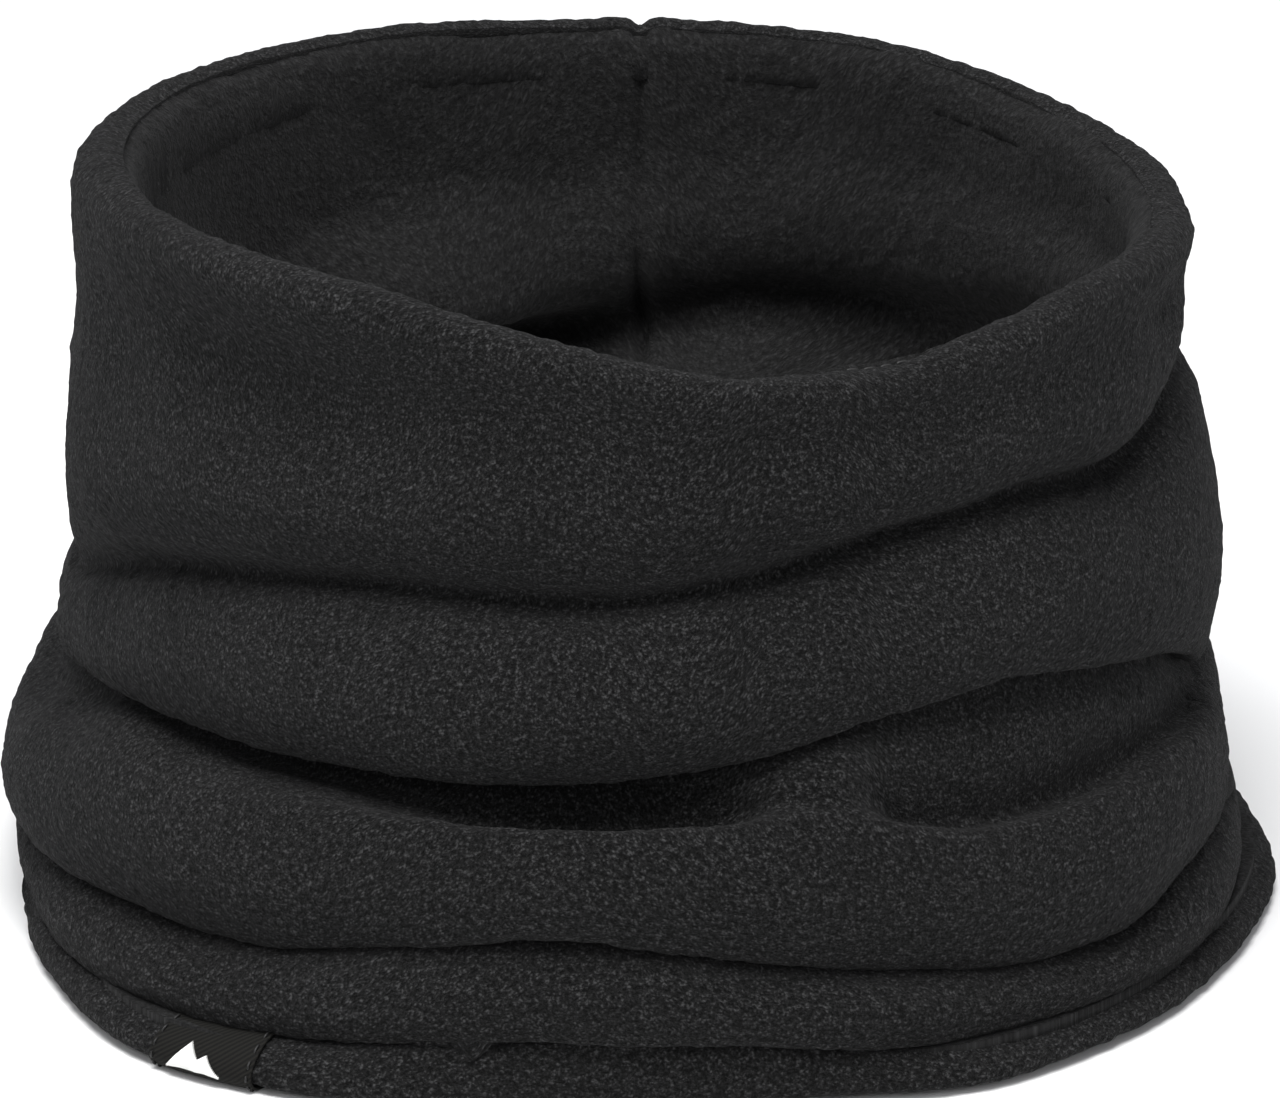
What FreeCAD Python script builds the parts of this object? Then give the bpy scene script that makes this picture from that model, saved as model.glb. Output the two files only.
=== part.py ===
import FreeCAD, Part
import Sketcher
import math
import os

# Neck gaiter: a double-layer fleece tube that stands slouched in soft horizontal rolls.
# Row frame: +Z up, origin on the floor under the centre of the tube, front at -Y, back seam at +Y.
# Every fabric piece is one turned section, so each body is a sketch in the X-Z plane and a Revolution.

SIZES = {
    # fabric
    "fleece_thickness": 2.8,        # one layer of brushed fleece
    "layer_gap": 0.3,               # air between outer fleece and lining
    "seam_gap_angle": 0.55,         # degrees left open where a panel's two edges meet at the back
    "seam_thread_angle": 0.30,      # degrees that the seam thread fills of that gap
    "seam_thread_depth": 0.8,       # thickness of the line of seam thread
    "ring_thread_radius": 0.35,     # thread of the rim seam and of the hem seam
    # the folded wall: where its outer face is furthest out or in, and how tightly it bends
    "hem_radius": 99.0,
    "hem_height": 4.2,
    "roll_bend": 6.5,
    "hem_crease_radius": 91.5,
    "hem_crease_height": 12.4,
    "crease_bend": 0.8,
    "lower_roll_radius": 100.5,
    "lower_roll_height": 20.4,
    "lower_crease_radius": 88.0,
    "lower_crease_height": 28.4,
    "middle_roll_radius": 100.5,
    "middle_roll_height": 38.0,
    "waist_crease_radius": 83.0,
    "waist_crease_height": 48.5,
    "upper_roll_radius": 94.5,
    "upper_roll_height": 62.0,
    "upper_roll_bend": 9.0,
    "collar_foot_radius": 83.5,
    "collar_foot_bend": 5.0,
    "collar_foot_half": 2.0,        # each side of the parting, up to where the bend starts
    "parting_height": 79.5,         # where the pulled-up collar leaves the slouched base
    "parting_gap": 0.4,
    "collar_swell_radius": 90.0,
    "collar_swell_height": 97.0,
    "collar_swell_bend": 12.0,
    "rim_radius": 88.0,
    "rim_foot_height": 110.0,
    "rim_foot_bend": 9.0,
    "rim_roll_height": 117.0,       # centre of the rolled rim
    "rim_roll_radius": 4.5,
    "rim_leg": 2.5,                 # how far the outer fleece comes down inside the rim
    # hem turned under the lining
    "hem_turn": 7.0,
    # labels
    "label_width": 20.0,
    "label_leg": 9.0,
    "label_inner_leg": 4.0,
    "label_thickness": 0.6,
    "label_azimuth": -37.5,         # degrees round from the front, negative towards -X
    "motif_width": 12.0,
    "motif_height": 4.6,
    "motif_thickness": 0.5,
    "label_stitch_length": 1.8,
    "label_stitch_radius": 0.22,
    "label_stitches": 3,            # down each side
    "care_width": 16.0,
    "care_drop": 20.0,
    "care_thickness": 0.3,
    "care_leaf_gap": 0.4,
    "care_top": 29.0,
    "care_back": 81.9,              # distance of the care label from the centre
    "care_stitches": 5,
    "surface_gap": 0.02,            # left between a stitch and the ribbon it lies on
}

MIRROR_FRONT = -90.0                # turns a body's +X sketch plane to face the front

doc = FreeCAD.newDocument("NeckGaiter")
sheet = doc.addObject("Spreadsheet::Sheet", "Sizes")
for row, (alias, value) in enumerate(SIZES.items(), start=1):
    sheet.set(f"A{row}", alias)
    sheet.set(f"B{row}", str(value))
    sheet.setAlias(f"B{row}", alias)
doc.recompute()


def size(alias):
    """The sheet's value of a driving dimension."""
    return float(sheet.get(alias))


def vec(x, y):
    return FreeCAD.Vector(x, y, 0)


# ---------------------------------------------------------------- the folded wall

RIDGE, CREASE = 1, -1


def base_bends():
    """The base's bends from the floor up: outer face's radius, height, bend, kind."""
    ridge, crease = size("roll_bend"), size("crease_bend")
    foot = size("parting_height") - size("collar_foot_half")
    return [
        (size("hem_radius"), size("hem_height"), ridge, RIDGE),
        (size("hem_crease_radius"), size("hem_crease_height"), crease, CREASE),
        (size("lower_roll_radius"), size("lower_roll_height"), ridge, RIDGE),
        (size("lower_crease_radius"), size("lower_crease_height"), crease, CREASE),
        (size("middle_roll_radius"), size("middle_roll_height"), ridge, RIDGE),
        (size("waist_crease_radius"), size("waist_crease_height"), crease, CREASE),
        (size("upper_roll_radius"), size("upper_roll_height"), size("upper_roll_bend"), RIDGE),
        (size("collar_foot_radius"), foot, size("collar_foot_bend"), CREASE),
    ]


def collar_bends():
    """The collar's bends from the parting up, in the same terms."""
    foot = size("parting_height") + size("collar_foot_half")
    swell, rim = size("collar_swell_bend"), size("rim_foot_bend")
    return [
        (size("collar_foot_radius"), foot, size("collar_foot_bend"), CREASE),
        (size("collar_swell_radius"), size("collar_swell_height"), swell, RIDGE),
        (size("rim_radius"), size("rim_foot_height"), rim, CREASE),
    ]


def wall(bends, depth, foot, head):
    """Lines and arcs of the folded wall at a depth inside its outer face, upright at both ends.

    Each bend keeps its centre at every depth, so all the layers nest without touching.
    """
    centres = [vec(r - kind * bend, z) for r, z, bend, kind in bends]
    headings = [math.pi / 2]
    for here, there, near, far in zip(centres, centres[1:], bends, bends[1:]):
        between = there - here
        lean = math.asin((near[2] + far[2]) / between.Length)
        headings.append(math.atan2(between.y, between.x) + near[3] * lean)
    headings.append(math.pi / 2)
    edges = []
    last = vec(bends[0][0] - depth, foot)
    for centre, (_, _, bend, kind), arrive, leave in zip(centres, bends, headings, headings[1:]):
        radius = bend - kind * depth
        on_arc = [
            centre + vec(math.sin(angle), -math.cos(angle)) * (kind * radius)
            for angle in (arrive, (arrive + leave) / 2, leave)
        ]
        edges.append(("line", last, on_arc[0]))
        edges.append(("arc", *on_arc))
        last = on_arc[2]
    edges.append(("line", last, vec(bends[-1][0] - depth, head)))
    return edges


def base_wall(depth, foot):
    return wall(base_bends(), depth, foot, size("parting_height") - size("parting_gap") / 2)


def collar_wall(depth):
    foot = size("parting_height") + size("parting_gap") / 2
    return wall(collar_bends(), depth, foot, size("rim_roll_height"))


def reversed_chain(edges):
    return [(kind, *points[::-1]) for kind, *points in reversed(edges)]


def chain_start(edges):
    return edges[0][1]


def chain_end(edges):
    return edges[-1][-1]


def closed(*chains):
    """The chains end to end, with a straight edge wherever two ends don't meet."""
    loop = []
    for chain in chains:
        if loop and (chain_end(loop) - chain_start(chain)).Length > 1e-6:
            loop.append(("line", chain_end(loop), chain_start(chain)))
        loop.extend(chain)
    if (chain_end(loop) - chain_start(loop)).Length > 1e-6:
        loop.append(("line", chain_end(loop), chain_start(loop)))
    return loop


def polygon(*points):
    return [("line", vec(*a), vec(*b)) for a, b in zip(points, points[1:] + points[:1])]


# ---------------------------------------------------------------- making bodies

def plane_of(body, role):
    return next(f for f in body.Origin.OriginFeatures if f.Role == role)


def sketch_on(body, name, edges, role="XZ_Plane", turn=0.0):
    """A sketch of the edges on one of the body's planes, turned about the body's Z axis."""
    sketch = body.newObject("Sketcher::SketchObject", name)
    sketch.AttachmentSupport = (plane_of(body, role), [""])
    sketch.MapMode = "FlatFace"
    sketch.AttachmentOffset = FreeCAD.Placement(
        FreeCAD.Vector(), FreeCAD.Rotation(FreeCAD.Vector(0, 1, 0), turn)
    )
    for kind, *points in edges:
        if kind == "line":
            sketch.addGeometry(Part.LineSegment(*points), False)
        else:
            sketch.addGeometry(Part.Arc(*points), False)
        sketch.addConstraint(Sketcher.Constraint("Block", sketch.GeometryCount - 1))
    return sketch


def turned(body, name, edges, angle_expression, kind="PartDesign::Revolution", turn=0.0):
    """Turns a section about Z, half of the angle each way from its plane."""
    sketch = sketch_on(body, name + "Section", edges, turn=turn)
    feature = body.newObject(kind, name)
    feature.Profile = sketch
    feature.ReferenceAxis = (sketch, ["V_Axis"])
    feature.Midplane = True
    feature.setExpression("Angle", angle_expression)
    sketch.Visibility = False
    return feature


def new_body(label, azimuth=0.0):
    """A body whose sketch plane faces the given azimuth round from the front."""
    body = doc.addObject("PartDesign::Body", "".join(w.title() for w in label.split("_")))
    body.Label = label
    body.Placement = FreeCAD.Placement(
        FreeCAD.Vector(),
        FreeCAD.Rotation(FreeCAD.Vector(0, 0, 1), MIRROR_FRONT + azimuth),
    )
    return body


def lining_depths():
    near = size("fleece_thickness") + size("layer_gap")
    return near, near + size("fleece_thickness")


PANEL_ANGLE = "360 - Sizes.seam_gap_angle"
THREAD_ANGLE = "Sizes.seam_thread_angle"


# ---------------------------------------------------------------- fabric panels

def base_outer_section():
    """The slouched outer fleece, with its lower edge turned in under the lining."""
    thick = size("fleece_thickness")
    inner = size("hem_radius") - size("hem_turn")
    outside, inside = base_wall(0.0, 0.0), base_wall(thick, thick)
    turned_in = [
        ("line", chain_start(inside), vec(inner, thick)),
        ("line", vec(inner, thick), vec(inner, 0.0)),
    ]
    return closed(outside, reversed_chain(inside), turned_in)


def base_outer():
    """The lower part of the outer fleece, with the hem pressed flat under the woven label."""
    body = new_body("base_outer_fleece")
    turned(body, "Fleece", base_outer_section(), PANEL_ANGLE)
    doc.recompute()
    whole = body.Shape.Volume
    sunk = size("label_thickness")
    outer = size("hem_radius") + 1.0
    inner = size("hem_radius") - size("hem_turn") - 1.0
    recess = polygon((inner, -1.0), (outer, -1.0), (outer, sunk), (inner, sunk))
    groove = turned(
        body, "LabelRecess", recess, "Sizes.label_width / Sizes.hem_radius * 180 / pi + 0.6",
        kind="PartDesign::Groove", turn=size("label_azimuth"),
    )
    body.Tip = groove
    doc.recompute()
    if body.Shape.Volume >= whole:
        raise RuntimeError("the label recess cut nothing")
    return body


def base_lining():
    near, far = lining_depths()
    lift = size("fleece_thickness") + size("layer_gap")
    body = new_body("base_lining_fleece")
    edges = closed(base_wall(near, lift), reversed_chain(base_wall(far, lift)))
    turned(body, "Lining", edges, PANEL_ANGLE)
    return body


def rim_arc(radius):
    """Half a circle over the rim, from outside to inside."""
    x, z = size("rim_radius") - size("rim_roll_radius"), size("rim_roll_height")
    return [("arc", vec(x + radius, z), vec(x, z + radius), vec(x - radius, z))]


def collar_outer():
    """The upper part of the outer fleece, rolled over the rim and down inside it."""
    outer, thick = size("rim_roll_radius"), size("fleece_thickness")
    foot = size("rim_roll_height") - size("rim_leg")
    over, under = rim_arc(outer), rim_arc(outer - thick)
    leg = [
        ("line", chain_end(over), vec(chain_end(over).x, foot)),
        ("line", vec(chain_end(over).x, foot), vec(chain_end(under).x, foot)),
        ("line", vec(chain_end(under).x, foot), chain_end(under)),
    ]
    edges = closed(
        collar_wall(0.0), over, leg, reversed_chain(under), reversed_chain(collar_wall(thick)),
    )
    body = new_body("collar_outer_fleece")
    turned(body, "Fleece", edges, PANEL_ANGLE)
    return body


def collar_lining():
    near, far = lining_depths()
    body = new_body("collar_lining_fleece")
    edges = closed(
        collar_wall(near),
        reversed_chain(collar_wall(far)),
    )
    turned(body, "Lining", edges, PANEL_ANGLE)
    return body


# ---------------------------------------------------------------- seam threads

BACK = 180.0


def back_seam(label, wall_at, layer_depth):
    """The line of thread that closes a panel at the back, halfway through its layer."""
    middle = layer_depth + size("fleece_thickness") / 2
    half = size("seam_thread_depth") / 2
    edges = closed(wall_at(middle - half), reversed_chain(wall_at(middle + half)))
    body = new_body(label, BACK)
    turned(body, "Thread", edges, THREAD_ANGLE)
    return body


def ring_thread(label, radius, height):
    """A seam's thread all round the tube."""
    ring = doc.addObject("Part::Torus", "".join(w.title() for w in label.split("_")))
    ring.Label = label
    ring.Radius1 = radius
    ring.setExpression("Radius2", "Sizes.ring_thread_radius")
    ring.Placement = FreeCAD.Placement(FreeCAD.Vector(0, 0, height), FreeCAD.Rotation())
    return ring


def seam_threads():
    thread = size("ring_thread_radius")
    near, far = lining_depths()
    clear = size("layer_gap") / 3
    lifted = size("fleece_thickness") + size("layer_gap")
    return [
        back_seam("base_outer_back_seam", lambda d: base_wall(d, lifted), 0.0),
        back_seam("base_lining_back_seam", lambda d: base_wall(d, lifted), near),
        back_seam("collar_outer_back_seam", collar_wall, 0.0),
        back_seam("collar_lining_back_seam", collar_wall, near),
        ring_thread(
            "rim_seam_thread",
            size("rim_radius") - far - thread - clear,
            size("rim_roll_height") - size("rim_leg") - thread - clear,
        ),
        ring_thread(
            "hem_seam_thread",
            size("hem_radius") - far - thread - clear,
            size("fleece_thickness") + thread + clear,
        ),
    ]


# ---------------------------------------------------------------- labels

def on_cylinder(azimuth, radius, height):
    """A placement on an upright cylinder: X along its surface, Y up, Z straight out."""
    out = FreeCAD.Vector(math.sin(azimuth), -math.cos(azimuth), 0)
    up = FreeCAD.Vector(0, 0, 1)
    rotation = FreeCAD.Rotation(up.cross(out), up, out, "ZXY")
    return FreeCAD.Placement(out * radius + up * height, rotation)


def label_face():
    return size("hem_radius") + size("layer_gap") / 3 + size("label_thickness")


def woven_label():
    """A ribbon folded over the hem's lower edge, one leg outside and one inside."""
    thick, leg, inner_leg = size("label_thickness"), size("label_leg"), size("label_inner_leg")
    outer = size("hem_radius") + size("layer_gap") / 3
    inner = size("hem_radius") - size("hem_turn") - size("layer_gap") / 3
    edges = polygon(
        (outer + thick, 0.0), (outer + thick, leg), (outer, leg), (outer, thick / 2),
        (inner, thick / 2), (inner, inner_leg), (inner - thick, inner_leg), (inner - thick, 0.0),
    )
    body = new_body("woven_label", size("label_azimuth"))
    turned(body, "Ribbon", edges, "Sizes.label_width / Sizes.hem_radius * 180 / pi")
    return body


def label_motif():
    """A plain ridge with two peaks in raised thread, standing on the label's outer face."""
    wide, high = size("motif_width"), size("motif_height")
    ridge = [(-0.50, 0.0), (-0.14, 1.0), (0.08, 0.50), (0.22, 0.74), (0.50, 0.0)]
    outline = polygon(*[(x * wide, y * high) for x, y in reversed(ridge)])
    body = doc.addObject("PartDesign::Body", "LabelMotif")
    body.Label = "label_motif"
    sketch = sketch_on(body, "Ridge", outline, role="XY_Plane")
    pad = body.newObject("PartDesign::Pad", "Thread")
    pad.Profile = sketch
    pad.setExpression("Length", "Sizes.motif_thickness")
    body.Placement = on_cylinder(
        math.radians(size("label_azimuth")), label_face() + size("surface_gap"),
        size("label_leg") * 0.25,
    )
    return body


def stitch(name, azimuth, radius, height, along):
    """One stitch, a short round bar centred on a cylinder, along its surface's X or Y."""
    length = size("label_stitch_length")
    bar = doc.addObject("Part::Cylinder", name)
    bar.setExpression("Radius", "Sizes.label_stitch_radius")
    bar.setExpression("Height", "Sizes.label_stitch_length")
    turn = FreeCAD.Rotation(FreeCAD.Vector(0, 0, 1), along)
    lie_down = FreeCAD.Placement(along * (-length / 2), turn)
    bar.Placement = on_cylinder(azimuth, radius, height).multiply(lie_down)
    return bar


def group(label, members):
    compound = doc.addObject("Part::Compound", "".join(w.title() for w in label.split("_")))
    compound.Label = label
    compound.Links = members
    return compound


def label_stitches():
    """A row of stitches down each side of the label's outer leg."""
    radius = label_face() + size("surface_gap") + size("label_stitch_radius")
    middle = math.radians(size("label_azimuth"))
    aside = (size("label_width") / 2 - 1.2) / size("hem_radius")
    pitch = size("label_leg") / size("label_stitches")
    upright = FreeCAD.Vector(0, 1, 0)
    return group("label_stitches", [
        stitch(f"LabelStitch{side}{i}", middle + sign * aside, radius, pitch * (i + 0.5), upright)
        for side, sign in (("Left", -1), ("Right", 1))
        for i in range(int(size("label_stitches")))
    ])


def care_label():
    """A satin ribbon folded at its lower end, hanging inside the back by its two upper ends."""
    thick, drop, gap = size("care_thickness"), size("care_drop"), size("care_leaf_gap")
    back = size("care_back")
    front = back - 2 * thick - gap
    top, foot = size("care_top"), size("care_top") - drop
    edges = polygon(
        (back, top), (back - thick, top), (back - thick, foot + thick),
        (front + thick, foot + thick), (front + thick, top), (front, top),
        (front, foot), (back, foot),
    )
    body = new_body("care_label", BACK)
    turned(body, "Ribbon", edges, "Sizes.care_width / Sizes.care_back * 180 / pi")
    return body


def care_stitches():
    """The row of stitches that holds the care label's upper end to the lining."""
    count = int(size("care_stitches"))
    front = size("care_back") - 2 * size("care_thickness") - size("care_leaf_gap")
    radius = front - size("surface_gap") - size("label_stitch_radius")
    pitch = size("care_width") / count / front
    level = FreeCAD.Vector(1, 0, 0)
    return group("care_label_stitches", [
        stitch(f"CareStitch{i}", math.pi + (i - (count - 1) / 2) * pitch, radius,
               size("care_top") - 1.0, level)
        for i in range(count)
    ])


# ---------------------------------------------------------------- build and write

nodes = [
    base_outer(), base_lining(), collar_outer(), collar_lining(), *seam_threads(),
    woven_label(), label_motif(), label_stitches(), care_label(), care_stitches(),
]
doc.recompute()

for thing in doc.Objects:
    if {"Invalid", "Error"} & set(thing.State):
        raise RuntimeError(f"{thing.Name} did not compute: {thing.State}")
os.makedirs("parts", exist_ok=True)
for node in nodes:
    shape = node.Shape
    if shape.isNull() or not shape.isValid() or not shape.Solids:
        raise RuntimeError(f"{node.Label} has no valid solid")
    box = shape.BoundBox
    print(f"{node.Label:26s} solids {len(shape.Solids):2d}  volume {shape.Volume:10.1f} mm3"
          f"  z {box.ZMin:6.2f} to {box.ZMax:6.2f}")
    shape.exportStep(f"parts/{node.Label}.step")
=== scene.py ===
import math

import bpy
import numpy as np
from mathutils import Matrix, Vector


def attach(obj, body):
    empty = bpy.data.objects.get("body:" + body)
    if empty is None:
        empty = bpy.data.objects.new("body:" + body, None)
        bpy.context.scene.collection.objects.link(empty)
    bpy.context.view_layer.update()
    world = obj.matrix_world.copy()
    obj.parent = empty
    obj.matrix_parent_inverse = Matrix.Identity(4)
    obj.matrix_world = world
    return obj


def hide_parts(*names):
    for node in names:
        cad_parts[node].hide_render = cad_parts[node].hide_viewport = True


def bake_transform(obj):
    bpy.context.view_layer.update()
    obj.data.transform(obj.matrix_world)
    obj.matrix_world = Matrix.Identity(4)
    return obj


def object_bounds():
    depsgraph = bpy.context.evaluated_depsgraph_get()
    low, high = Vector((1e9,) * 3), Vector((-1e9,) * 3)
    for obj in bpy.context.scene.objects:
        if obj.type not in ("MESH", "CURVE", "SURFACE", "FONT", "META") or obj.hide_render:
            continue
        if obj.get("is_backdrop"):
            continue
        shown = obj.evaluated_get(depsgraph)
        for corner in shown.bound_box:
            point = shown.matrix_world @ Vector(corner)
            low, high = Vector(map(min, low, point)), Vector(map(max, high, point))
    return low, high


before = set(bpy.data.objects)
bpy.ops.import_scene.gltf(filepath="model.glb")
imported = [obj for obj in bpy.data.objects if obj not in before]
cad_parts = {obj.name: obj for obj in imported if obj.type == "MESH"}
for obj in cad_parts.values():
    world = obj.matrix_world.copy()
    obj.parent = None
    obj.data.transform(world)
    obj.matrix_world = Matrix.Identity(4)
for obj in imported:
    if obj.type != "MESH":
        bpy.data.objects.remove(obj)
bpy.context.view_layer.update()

# The fleece neck gaiter as it looks. Lengths are in millimetres until a mesh is made.
# Azimuth 0 is the front (-Y), positive towards +X; the back seam is at 180.
# The folded wall is a grid: one row per azimuth, one column per step along the cloth from
# the turned hem, up the outside and over the rim.

MM = 0.001
RNG = np.random.default_rng(20)
UV_PER_MM = 0.01            # the texture's unit is 100 mm of cloth
GIRTH = 2 * math.pi * 92    # round the tube, for the texture and the noise

THICK = 2.8                 # one layer of fleece
AROUND = 720                # rows of the final grids
COARSE = 180                # rows of the grid that the layers are offset on

# ------------------------------------------------------------------ the folds

# Each line round the tube that the cloth passes through, from the hem up:
# {azimuth: (radius, height)}.
HEM = {
    -180: (96, 3.4), -150: (97, 3.4), -120: (96, 3.4), -90: (95.5, 3.4), -75: (99, 3.4),
    -60: (104, 3.4), -42: (110.5, 3.4), -30: (109, 3.4), -15: (103, 3.4), 0: (99.5, 3.4),
    15: (101, 3.4), 31: (105.5, 3.4), 50: (103.5, 3.4), 65: (101, 3.4), 82: (100.5, 3.2),
    95: (99, 3.2), 120: (96, 3.4), 150: (95, 3.4),
}
CREASE_4 = {
    -180: (91, 9.5), -150: (90, 8.5), -120: (91, 9), -90: (94, 8), -75: (97, 7), -60: (99.5, 6.4),
    -42: (101.5, 6.6), -28: (99.5, 8.4), -15: (99.4, 11), -4: (98.6, 12), 8: (95.6, 11.2),
    18: (95, 8.8), 30: (96, 6.6), 45: (95.5, 6), 60: (93.5, 6), 75: (91.5, 6.2), 90: (90.5, 6.4),
    120: (89, 8.5), 150: (90, 10),
}
ROLL_4 = {
    -180: (99, 17), -150: (99.5, 15), -120: (99, 15), -90: (98, 12), -75: (100, 11),
    -60: (103, 10.5), -45: (105.5, 10.5), -30: (105, 12.5), -15: (102.5, 17), 0: (101, 19.5),
    15: (101.5, 16.5), 30: (103, 12.5), 45: (102.5, 10.8), 60: (100, 11), 75: (96.5, 11.5),
    90: (94, 11), 120: (97, 14), 150: (98.5, 17),
}
CREASE_3 = {
    -180: (88, 26), -150: (87, 24), -120: (90, 22),
    -90: (97.5, 14.5), -75: (95, 17), -60: (92, 17.6),
    -48: (91, 18), -35: (90.5, 20), -21: (91, 25), -8: (91.5, 28), 4: (91, 25.5), 21: (90.5, 20),
    39: (90.5, 15.5), 50: (91, 14.8), 64: (91.5, 18.7),
    77: (91, 19), 90: (90.8, 15), 120: (88, 22),
    150: (87, 27),
}
ROLL_3 = {
    -180: (99, 36), -150: (99.5, 34), -120: (99.6, 28), -90: (99.6, 21), -75: (100.3, 26),
    -60: (100.5, 29), -45: (100, 30.5), -30: (99.5, 33), -15: (99, 37), 0: (99, 38), 12: (99, 37),
    20: (98.5, 35), 33: (99.5, 29.5), 45: (99.5, 28), 60: (97.5, 29), 75: (94.5, 28.5),
    90: (92.2, 24), 120: (96, 32), 150: (98, 37),
}
SHOULDER_3 = {
    -180: (95.5, 42), -150: (96, 40), -120: (96.5, 34.5), -90: (97, 29.5), -75: (96.5, 33.5),
    -60: (96, 37.4), -45: (96, 40), -30: (95.8, 43), -15: (95.4, 44.8), 0: (95.2, 45.4),
    8: (95.4, 45.8), 14: (96, 46), 19: (96.4, 45),
    25: (96.4, 42), 33: (96.6, 38.6), 45: (96.2, 37.4),
    60: (94.6, 37.2), 75: (92, 36), 90: (90, 30.5), 120: (92.5, 38.5), 150: (94.5, 43.5),
}
POCKET = {
    -180: (87, 43.5), -150: (87, 42), -120: (88.5, 36.5), -90: (91, 33.5), -75: (88, 38),
    -60: (88, 42.2), -45: (88.6, 42.8), -34: (88.6, 43.4), -22: (88, 41.6), -12: (87.6, 39.6),
    0: (87.8, 39.4), 8: (88.6, 42), 14: (92.4, 47.4),
    19: (93.6, 47.6), 25: (90.6, 40.6), 33: (90.4, 37.4),
    45: (89.6, 36.6), 58: (88.4, 36.8), 70: (87, 37),
    90: (86.5, 33), 120: (86, 40.5), 150: (86.5, 44.5),
}
SHELF = {
    -180: (84, 46.5), -150: (84, 45), -120: (86, 40), -90: (88, 36.5), -75: (85.5, 41),
    -60: (84.4, 43), -45: (83.8, 43.2), -30: (83.6, 43.2), -15: (83.8, 43.6), 0: (84.2, 44.6),
    8: (86, 47.5), 14: (90.4, 51.4), 19: (91.6, 52.6), 25: (90.6, 50.6), 33: (90.6, 48.6),
    45: (90.2, 47.2), 58: (88.6, 45.6), 70: (86.2, 42.2), 90: (84.4, 35.4), 120: (84, 43),
    150: (84, 48),
}
CREASE_2 = {
    -180: (81.5, 52), -150: (82, 50), -120: (83.5, 44), -90: (86, 38.6), -75: (84, 42.5),
    -60: (82.5, 45.5), -35: (82, 47), -17: (82, 48.5), 0: (82.5, 51), 12: (83.5, 54),
    23: (84.5, 58), 37: (83.5, 60), 50: (83, 57),
    65: (82.5, 51), 80: (82.5, 42.5), 90: (82.8, 36.5),
    120: (82.5, 47), 150: (82, 52),
}
ROLL_2 = {
    -180: (93, 64), -150: (93, 62), -120: (92, 54), -90: (90.3, 44.5), -75: (90.8, 50),
    -60: (91.5, 54.5), -35: (92.2, 59), -17: (92.5, 61.5),
    0: (92.5, 63.5), 12: (92, 66), 23: (91.6, 69),
    37: (91.4, 70), 50: (91.4, 69), 65: (91.2, 65), 80: (90.8, 62), 90: (90.5, 60), 120: (91, 62),
    150: (92, 64),
}
CREASE_1 = {
    -180: (80, 76), -150: (81, 73), -120: (84, 64), -90: (87, 52.5), -75: (85, 60), -61: (82, 67),
    -45: (81.4, 71.5), -27: (81, 75), -4: (81, 76.5), 12: (80.6, 79.5), 30: (79.8, 84.5),
    45: (79.2, 85), 61: (79.2, 82), 75: (80, 84), 90: (80.8, 87), 120: (80, 84), 150: (79.5, 79),
}
BULGE_1 = {
    -180: (88, 92), -150: (88.5, 90), -120: (89, 79), -90: (89.8, 67), -75: (90.2, 75),
    -60: (90.2, 82), -45: (89, 85.5), -27: (87.8, 88),
    -4: (87.4, 89), 12: (87, 91), 30: (86.8, 94),
    45: (86.6, 94), 61: (86.4, 92.5), 75: (84.8, 95), 90: (83.8, 97), 120: (85, 95), 150: (87, 94),
}
RIM_FOOT = {
    -180: (85.5, 102), -150: (86, 103), -120: (87, 101), -95: (87.8, 97), -80: (87.4, 99),
    -62: (84.6, 104), -48: (81.8, 105), -36: (82, 105), -20: (84.2, 105), 0: (85.4, 103.5),
    12: (85.6, 101), 30: (85.4, 102.5), 45: (85, 105),
    61: (84.6, 106), 75: (84.2, 104.5), 90: (84.6, 102),
    120: (85, 100), 150: (85.6, 101.5),
}
RIM_TOP = {
    -180: (87.4, 112), -150: (87.6, 114.2), -128: (88, 116), -90: (88.4, 119.8), -60: (88, 122.5),
    -35: (87.5, 123.2), -15: (87.2, 119.6), 0: (87.2, 115.2), 11: (87.4, 112), 26: (87.6, 111.6),
    40: (87.4, 113.6), 55: (87, 115.2), 72: (86.6, 113.5), 90: (86.4, 110.6), 122: (86.6, 109.4),
    155: (87.2, 112),
}


def around(count):
    """Azimuths of the rows, in degrees, from the back seam all the way round to it again."""
    return -180.0 + 360.0 * np.arange(count) / count


def line_round(table, azimuths):
    """Radius and height of a line at the azimuths: smooth, periodic, with no overshoot."""
    keys = np.array(sorted(table), float)
    values = np.array([table[k] for k in sorted(table)], float)
    keys = np.concatenate([keys[-2:] - 360, keys, keys[:3] + 360])
    values = np.concatenate([values[-2:], values, values[:3]])
    gaps = np.diff(keys)[:, None]
    slopes = np.diff(values, axis=0) / gaps
    before, after = slopes[:-1], slopes[1:]
    together = before * after > 0
    weights = (2 * gaps[1:] + gaps[:-1], gaps[1:] + 2 * gaps[:-1])
    safe_before = np.where(together, before, 1)
    safe_after = np.where(together, after, 1)
    mean = sum(weights) / (weights[0] / safe_before + weights[1] / safe_after)
    tangents = np.zeros_like(values)
    tangents[1:-1] = np.where(together, mean, 0)
    at = np.clip(np.searchsorted(keys, azimuths, side="right") - 1, 0, len(keys) - 2)
    step = gaps[at]
    t = ((azimuths - keys[at])[:, None]) / step
    return ((2 * t**3 - 3 * t**2 + 1) * values[at] + (t**3 - 2 * t**2 + t) * step * tangents[at]
            + (3 * t**2 - 2 * t**3) * values[at + 1] + (t**3 - t**2) * step * tangents[at + 1])


def lip(crest, crease, out, up):
    """A point of a roll between its crest and a crease: out of the way to the crest, up it."""
    return np.stack([
        crease[:, 0] + out * (crest[:, 0] - crease[:, 0]),
        crease[:, 1] + up * (crest[:, 1] - crease[:, 1]),
    ], axis=1)


def shifted(line, out, up):
    """The line moved out and up, in mm."""
    return line + np.array([out, up], float)


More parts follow.
